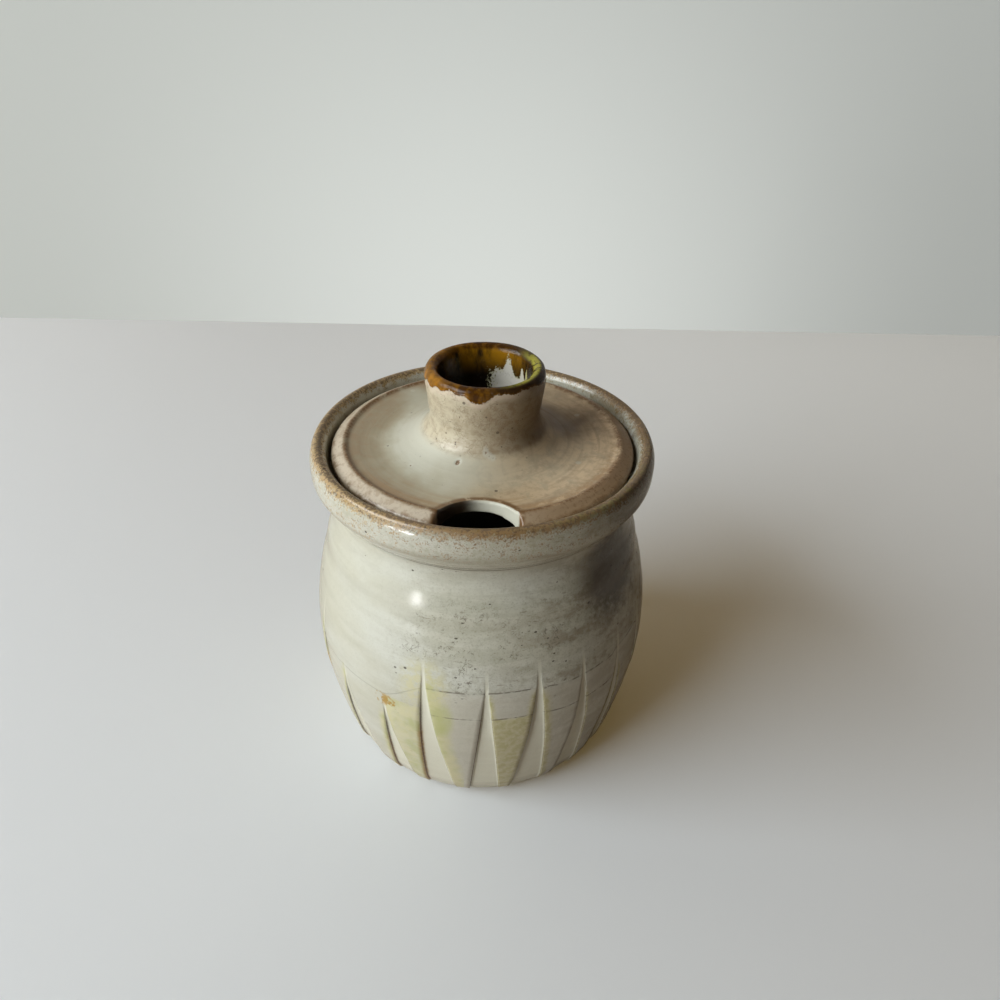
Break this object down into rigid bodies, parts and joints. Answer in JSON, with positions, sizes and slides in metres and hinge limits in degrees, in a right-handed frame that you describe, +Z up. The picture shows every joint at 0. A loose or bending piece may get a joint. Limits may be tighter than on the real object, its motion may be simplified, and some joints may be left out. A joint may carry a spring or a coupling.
{
  "type": "honey pot",
  "caption": "Hand-thrown stoneware honey pot with fluted barrel sides, a rolled rim and a loose lid with a spoon notch and a hollow knob.",
  "frame": {"origin": "middle of the resting face of the foot, on the surface the pot stands on", "axes": "+Z up along the wheel axis of pot and lid; -Y towards the spoon notch in the lid; +X to the right when the notch faces the viewer"},
  "size_m": [0.0964, 0.0964, 0.1169],
  "materials": {
    "pot_glaze": "satin off-white stoneware glaze with iron specks and thin green-yellow runs",
    "lid_glaze": "warm buff satin glaze with brown edges and an amber glossy knob lip"
  },
  "bodies": {
    "root": {"pot": "pot_glaze", "lid": "lid_glaze"}
  },
  "joints": []
}
